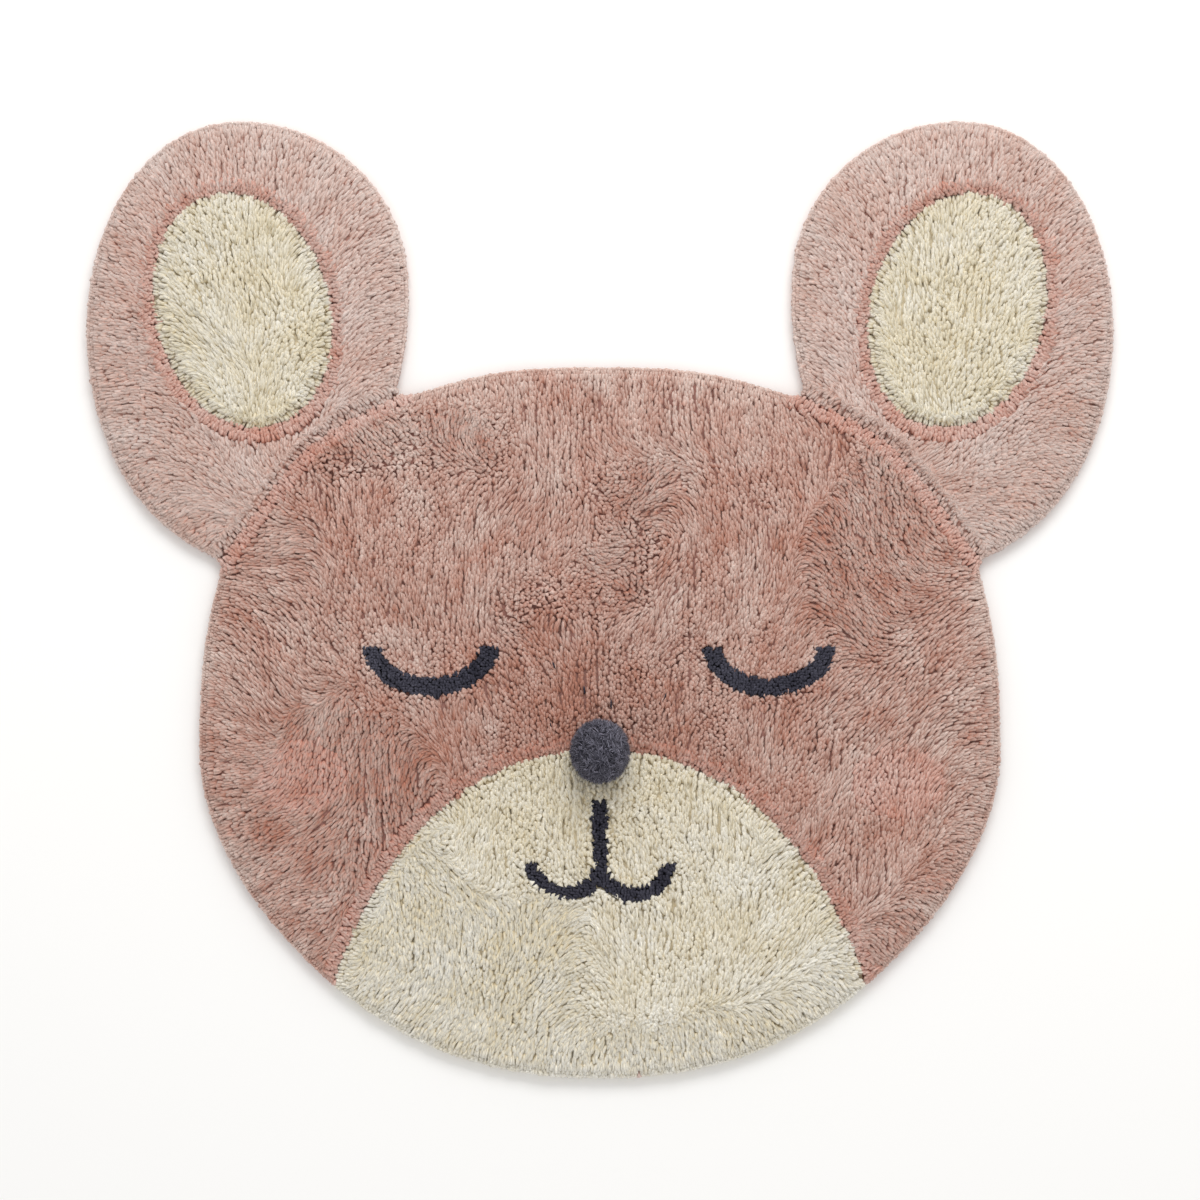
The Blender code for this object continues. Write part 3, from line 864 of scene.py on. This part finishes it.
is_coral = yarns == CORAL
overhang = chance.normal(CORAL_OVERHANG, CORAL_RAGGED, (is_coral.sum(), 1))
tip_places[is_coral] += unit(leans[is_coral]) * overhang
in_field = ~is_rim & ~is_line & ~is_coral
tucked = in_field & (nearest(tip_places, borders) < TUCKED_ROW)
tip_places[tucked] += unit(leans[tucked]) * TUCKED_UNDER
tip_heights[tucked] -= TUCKED_LOWER
tip_places[in_field] += ropes[in_field, :2] * ROPE_PULL
relief = ROPE_RELIEF * (1 + FACE_RELIEF * face_share(tip_places))
relief[yarns == PALE_ROSE] *= EAR_RELIEF
tip_heights[in_field] += ropes[in_field, 2] * relief[in_field]
tufts = set_tufts(tip_places, tip_heights, leans, plump)
print("highest tuft in mm:", (tufts[:, :, 2].max() / MM).round(1))

# %% [markdown]
# ## One piece for each part of the face
# A maker sets one colour after another. So the pile of each part is one mesh in one yarn. The rose of the
# head is parted just above the eyes, and below that down the middle, to keep each mesh handy.

# %% The pile's pieces
CROWN_LINE_Y = 0.0
x, y = tip_places.T
PILE_PIECES = (
    ("crown_pile", ROSE, y > CROWN_LINE_Y),
    ("left_cheek_pile", ROSE, (y <= CROWN_LINE_Y) & (x < 0)),
    ("right_cheek_pile", ROSE, (y <= CROWN_LINE_Y) & (x >= 0)),
    ("left_ear_pile", PALE_ROSE, x < 0),
    ("right_ear_pile", PALE_ROSE, x >= 0),
    ("left_inner_ear_pile", CREAM, in_inner & (x < 0)),
    ("right_inner_ear_pile", CREAM, in_inner & (x >= 0)),
    ("muzzle_pile", CREAM, ~in_inner),
    ("coral_outline_pile", CORAL, ~inside_any(tip_places, blushes)),
    ("coral_cheeks_pile", CORAL, inside_any(tip_places, blushes)),
    ("eyes_and_mouth_pile", CHARCOAL, is_line),
)


def add_object(name, data):
    """A new object in the scene."""
    added = bpy.data.objects.new(name, data)
    bpy.context.scene.collection.objects.link(added)
    return added


def add_piece(name, mesh, materials):
    """A finished piece: in the scene, with its materials, riding on the rug's one body."""
    piece = add_object(name, mesh)
    for material in materials:
        mesh.materials.append(material)
    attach(piece, "root")
    triangles = sum(len(polygon.vertices) - 2 for polygon in mesh.polygons)
    print(f"{name}: {triangles} triangles")
    return piece


for name, yarn, here in PILE_PIECES:
    chosen = here & (yarns == yarn)
    mesh = locks_to_mesh(name, tufts[chosen], np.clip(shades[chosen], 0, 1), TUFT_RINGS)
    add_piece(name, mesh, [yarn_materials[yarn]])

# %% [markdown]
# ## The bed of the pile, and the canvas
# Low down the tufts are felted together, so a look between two of them meets more yarn and not the
# canvas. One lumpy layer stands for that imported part, in the dyes of the yarns above it. Underneath is the
# canvas that the yarn was shot through, coated with latex so that no tuft pulls out: a thin sheet of plain
# cotton duck, cut about 5 mm inside the pile's edge.

# %% A flat layer inside the outline
CANVAS_INSET, CANVAS_STEP = 4.6 * MM, 16 * MM
BED_INSET, BED_STEP = 5.6 * MM, 7 * MM
BED_LUMPS, LUMP_LENGTH = 1.8 * MM, 9 * MM
SAME_POINT = 1e-6


def layer_mesh(name, inset, step, low, heights):
    """A closed flat layer inside the outline, with its top at the given heights. Also its top's middles."""
    edge = walk(outline, step, -inset, 0.0)
    inner = np.array([
        (x, y)
        for x in np.arange(rug_low.x, rug_high.x, step)
        for y in np.arange(rug_low.y, rug_high.y, step)
    ])
    inner = inner[inside(inner, edge) & (distance(inner, edge) > step / 2)]
    points = [Vector(point) for point in np.concatenate([edge, inner])]
    ring = [(index, (index + 1) % len(edge)) for index in range(len(edge))]
    only_inside = 1
    placed, _, triangles, *_ = delaunay_2d_cdt(points, ring, [], only_inside, SAME_POINT)
    flat = np.array(placed)
    count = len(flat)
    top = np.column_stack([flat, heights(flat)])
    under = np.column_stack([flat, np.full(count, low)])
    faces = [tuple(face) for face in triangles]
    faces += [tuple(count + index for index in reversed(face)) for face in triangles]
    faces += [(a + count, b + count, b, a) for a, b in ring]
    mesh = bpy.data.meshes.new(name)
    mesh.from_pydata(np.concatenate([top, under]).tolist(), [], faces)
    return mesh, np.array([flat[list(face)].mean(axis=0) for face in triangles])


def lumpy_bed(places):
    """The bed's height with the lumps of single stitches."""
    return bed_heights(places) + waves(places, LUMP_LENGTH, layer=6.0)[:, 0] * BED_LUMPS


def canvas_top(places):
    """The canvas is one thickness everywhere."""
    return np.full(len(places), CANVAS_THICKNESS)


# %% [markdown]
# ## What the bed and the canvas are made of
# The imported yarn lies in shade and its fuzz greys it, so its root dye is drawn darker and less rich, with
# a knot for each stitch. The canvas is natural cotton duck, plain woven and sized with latex, which makes
# it matt and pale straw. Two crossed waves draw its warp and weft at the real thread spacing.

# %% Materials of the bed and the canvas
BED_RICHNESS, KNOT_MIDDLE, KNOT_EDGE, KNOT_DEPTH = 0.72, 0.9, 0.62, 1.0 * MM
THREAD_SPACING, THREAD_DEPTH = 1.2 * MM, 0.3 * MM
# The stains are about 70 mm wide, so 14 of them make a metre.
STAINS_A_METRE, STAINED, UNSTAINED = 14.0, 0.88, 1.06


def root_material(yarn):
    """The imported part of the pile: yarn of the same dye in shade, felted into small knots."""
    material, tree, shader = dull_material(yarn.name + "_roots", roughness=1.0, specular=0.1)
    place = add_node(tree, "ShaderNodeTexCoord")
    knots = add_node(tree, "ShaderNodeTexVoronoi", Vector=place.outputs["Object"], Scale=1 / COLUMN_PITCH)
    shadow = add_node(
        tree, "ShaderNodeMapRange", Value=knots.outputs["Distance"], To_Min=KNOT_MIDDLE, To_Max=KNOT_EDGE
    )
    colour = add_node(
        tree, "ShaderNodeHueSaturation",
        Saturation=BED_RICHNESS, Value=shadow.outputs["Result"], Color=linear(yarn.root),
    )
    tree.links.new(colour.outputs["Color"], shader.inputs["Base Color"])
    relief = add_node(
        tree, "ShaderNodeBump", {"invert": True},
        Strength=0.8, Distance=KNOT_DEPTH, Height=knots.outputs["Distance"],
    )
    tree.links.new(relief.outputs["Normal"], shader.inputs["Normal"])
    return material


def duck_material():
    """Natural cotton duck, plain woven and sized with latex: matt, pale straw, a little stained."""
    material, tree, shader = dull_material("latexed_cotton_duck", roughness=0.85, specular=0.25)
    place = add_node(tree, "ShaderNodeTexCoord")
    # Blender's wave texture turns through this angle over one unit of its scaled space.
    radians_a_unit = 20
    scale = math.tau / radians_a_unit / THREAD_SPACING
    warp, weft = [
        add_node(
            tree, "ShaderNodeTexWave", {"bands_direction": way},
            Vector=place.outputs["Object"], Scale=scale, Distortion=0.6, Detail=1.0,
        ).outputs["Fac"]
        for way in ("X", "Y")
    ]
    weave = add_node(tree, "ShaderNodeMath", {"operation": "MULTIPLY"}, _0=warp, _1=weft)
    stains = add_node(
        tree, "ShaderNodeTexNoise", Vector=place.outputs["Object"], Scale=STAINS_A_METRE, Detail=4.0
    )
    mixed = add_node(
        tree, "ShaderNodeMix", {"data_type": "RGBA"},
        _0=weave.outputs["Value"], _6=linear("#a8987a"), _7=linear("#d9cdb2"),
    )
    aged = add_node(
        tree, "ShaderNodeMapRange", Value=stains.outputs["Fac"], To_Min=STAINED, To_Max=UNSTAINED
    )
    colour = add_node(tree, "ShaderNodeHueSaturation", Value=aged.outputs["Result"], Color=mixed.outputs[2])
    tree.links.new(colour.outputs["Color"], shader.inputs["Base Color"])
    relief = add_node(
        tree, "ShaderNodeBump", Strength=0.7, Distance=THREAD_DEPTH, Height=weave.outputs["Value"]
    )
    tree.links.new(relief.outputs["Normal"], shader.inputs["Normal"])
    return material


# %% The bed and the canvas themselves
bed, bed_middles = layer_mesh("bed", BED_INSET, BED_STEP, CANVAS_THICKNESS, lumpy_bed)
bed_slots = np.zeros(len(bed.polygons), dtype=np.int32)
bed_slots[:len(bed_middles)] = yarns_at(bed_middles)
bed.polygons.foreach_set("material_index", bed_slots)
add_piece("packed_pile", bed, [root_material(yarn) for yarn in YARNS])

duck, _ = layer_mesh("duck", CANVAS_INSET, CANVAS_STEP, 0.0, canvas_top)
canvas = add_piece("rug_canvas", duck, [duck_material()])
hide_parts("rug")

# %% [markdown]
# ## The pompom nose
# A pompom is yarn wound round two rings, tied between them, cut and trimmed to a ball. Its ends stand out
# from the middle on all sides, felt together and lie over in small whorls. So we spread thin strands
# evenly over the ball, each a golden turn on from the last, and tilt them by a slow wave. The shears trim
# a ball but leave some strands short.

# %% Pompom strands
STRANDS, STRAND_HALF_WIDTH = 6400, 0.78 * MM
STRAND_RINGS = (Ring(0.0, 0.8), Ring(0.55, 1.0))
STRAND_START, TRIM_NOISE = 0.70, 0.065
GOLDEN_TURN = math.pi * (3 - math.sqrt(5))
WHORLS_ACROSS, WHORL_PLACE = 3.4, Vector((4, 0, 0))
WHORL_TILT, STRAND_TILT, TILT_SHARE = 0.8, 0.16, 0.5
TIPS_ABOVE, ROOTS_ABOVE = 0.3 * MM, 1.2 * MM


def pompom_strands():
    """Roots and tips of the strands on the ball, with its middle and radii."""
    middle = np.array((nose_low + nose_high) / 2)
    radii = np.array((nose_high - nose_low) / 2)
    radii[2] = radii[0]
    middle[2] = nose_high.z - radii[2]
    number = np.arange(STRANDS)
    z = 1 - 2 * (number + 0.5) / STRANDS
    flat = np.sqrt(1 - z ** 2)
    out = np.column_stack([flat * np.cos(number * GOLDEN_TURN), flat * np.sin(number * GOLDEN_TURN), z])
    whorls = np.array([noise.noise_vector(Vector(way) * WHORLS_ACROSS + WHORL_PLACE) for way in out])
    tilt = whorls * WHORL_TILT + chance.normal(0, STRAND_TILT, out.shape)
    tilt -= out * (tilt * out).sum(axis=1, keepdims=True)
    reach = 1 - np.abs(chance.normal(0, TRIM_NOISE, (STRANDS, 1)))
    roots = middle + radii * (out - tilt * TILT_SHARE) * STRAND_START
    tips = middle + radii * unit(out + tilt * TILT_SHARE) * reach
    tips[:, 2] = np.maximum(tips[:, 2], nose_low.z + TIPS_ABOVE)
    roots[:, 2] = np.maximum(roots[:, 2], nose_low.z + ROOTS_ABOVE)
    return roots, tips, middle, radii


strand_roots, strand_tips, ball_middle, ball_radii = pompom_strands()
strand_widths = np.full(STRANDS, STRAND_HALF_WIDTH)
strands = lock_arrays(strand_roots, strand_tips, strand_widths, STRAND_RINGS)
strand_mesh = locks_to_mesh("strands", strands, chance.uniform(0, 1, STRANDS), STRAND_RINGS)
# The pompom's dark root colour is painted shade inside the ball, and its pale tip a painted highlight.
pompom_yarn = Yarn("charcoal_pompom_yarn", "#14141c", "#383743", "#7d7b87", 0.60, 1.0)
pompom = add_piece("nose_pompom_yarn", strand_mesh, [yarn_material(pompom_yarn)])
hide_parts("nose_pompom")

# %% [markdown]
# ## The pompom's core
# Between the strands one sees more yarn, packed round the knot in the middle. A lumpy ball inside them
# stands for it. It is flat underneath, where the pompom is sewn down.

# %% Pompom core
CORE_SHARE, CORE_SUBDIVISIONS = 0.82, 4
CORE_LUMPS, LUMPS_ACROSS, CORE_ABOVE = 0.05, 6, 1.0 * MM


def core_mesh(middle, radii):
    """The felted middle of the ball, lumpy as packed yarn is, and flat where it is sewn on."""
    shape = bmesh.new()
    bmesh.ops.create_icosphere(shape, subdivisions=CORE_SUBDIVISIONS, radius=1.0)
    for vertex in shape.verts:
        lump = 1 + CORE_LUMPS * noise.noise(vertex.co * LUMPS_ACROSS)
        place = Vector(middle + radii * np.array(vertex.co) * CORE_SHARE * lump)
        place.z = max(place.z, nose_low.z + CORE_ABOVE)
        vertex.co = place
    mesh = bpy.data.meshes.new("core")
    shape.to_mesh(mesh)
    shape.free()
    return mesh


core = core_mesh(ball_middle, ball_radii)
pompom_core = add_piece("nose_pompom_core", core, [root_material(pompom_yarn)])

# %% [markdown]
# ## Floor, light and camera
# The rug lies on a plain white studio floor and is seen from straight above. One large soft light comes
# from beyond the ears, so that each tuft and the pompom shade towards the chin, and white surroundings
# fill the shadows. Blender's Standard view keeps the yarn's colours as they are.

# %% Stage, in metres and watts
FLOOR_SIZE, FLOOR_BELOW = 14.0, 0.2 * MM
LAMP_PLACE, LAMP_SIZE, LAMP_POWER = Vector((0.3, 2.3, 2.4)), (2.4, 1.4), 58.0
ROOM_LIGHT = 0.8
FRAME_WIDTH = 1.2
LENS_MM, SENSOR_MM = 85.0, 36.0


def lay_floor():
    """White studio paper, matt, just under the rug."""
    floor_mesh = bpy.data.meshes.new("floor")
    half = FLOOR_SIZE / 2
    corners = [(-half, -half, 0), (half, -half, 0), (half, half, 0), (-half, half, 0)]
    floor_mesh.from_pydata(corners, [], [(0, 1, 2, 3)])
    floor = add_object("floor", floor_mesh)
    floor.location.z = -FLOOR_BELOW
    paper, _, shader = dull_material("white_studio_paper", roughness=0.9, specular=0.5)
    shader.inputs["Base Color"].default_value = linear("#f7f6f4")
    floor_mesh.materials.append(paper)


def set_lights():
    """A large soft box beyond the ears, aimed at the rug, in a white room."""
    soft_box = bpy.data.lights.new("soft_box", "AREA")
    soft_box.energy = LAMP_POWER
    soft_box.shape = "RECTANGLE"
    soft_box.size, soft_box.size_y = LAMP_SIZE
    lamp = add_object("soft_box", soft_box)
    lamp.location = LAMP_PLACE
    lamp.rotation_euler = (-LAMP_PLACE).to_track_quat("-Z", "Y").to_euler()
    world = bpy.data.worlds.new("white_room")
    world.use_nodes = True
    background = world.node_tree.nodes["Background"]
    background.inputs["Color"].default_value = linear("#ffffff")
    background.inputs["Strength"].default_value = ROOM_LIGHT
    bpy.context.scene.world = world
    bpy.context.scene.view_settings.view_transform = "Standard"


def set_camera():
    """Straight above the rug, so far up that the frame's width spans it with a margin."""
    camera = add_object("camera", bpy.data.cameras.new("camera"))
    camera.data.lens, camera.data.sensor_width = LENS_MM, SENSOR_MM
    camera.location = (0, 0, PILE_TOP + FRAME_WIDTH * LENS_MM / SENSOR_MM)
    bpy.context.scene.camera = camera
    print("camera height in m:", round(camera.location.z, 2))


lay_floor()
set_lights()
set_camera()

# %% [markdown]
# ## The canvas's cut outline
# The canvas is the one sheet of cloth. It is laid flat, and its flat size is its cut size. The pile and
# the pompom go with it. Here its outline is walked inside the pile's edge.

canvas_corners = walk(outline, DRAWING_STEP, -CANVAS_INSET, 0.0)
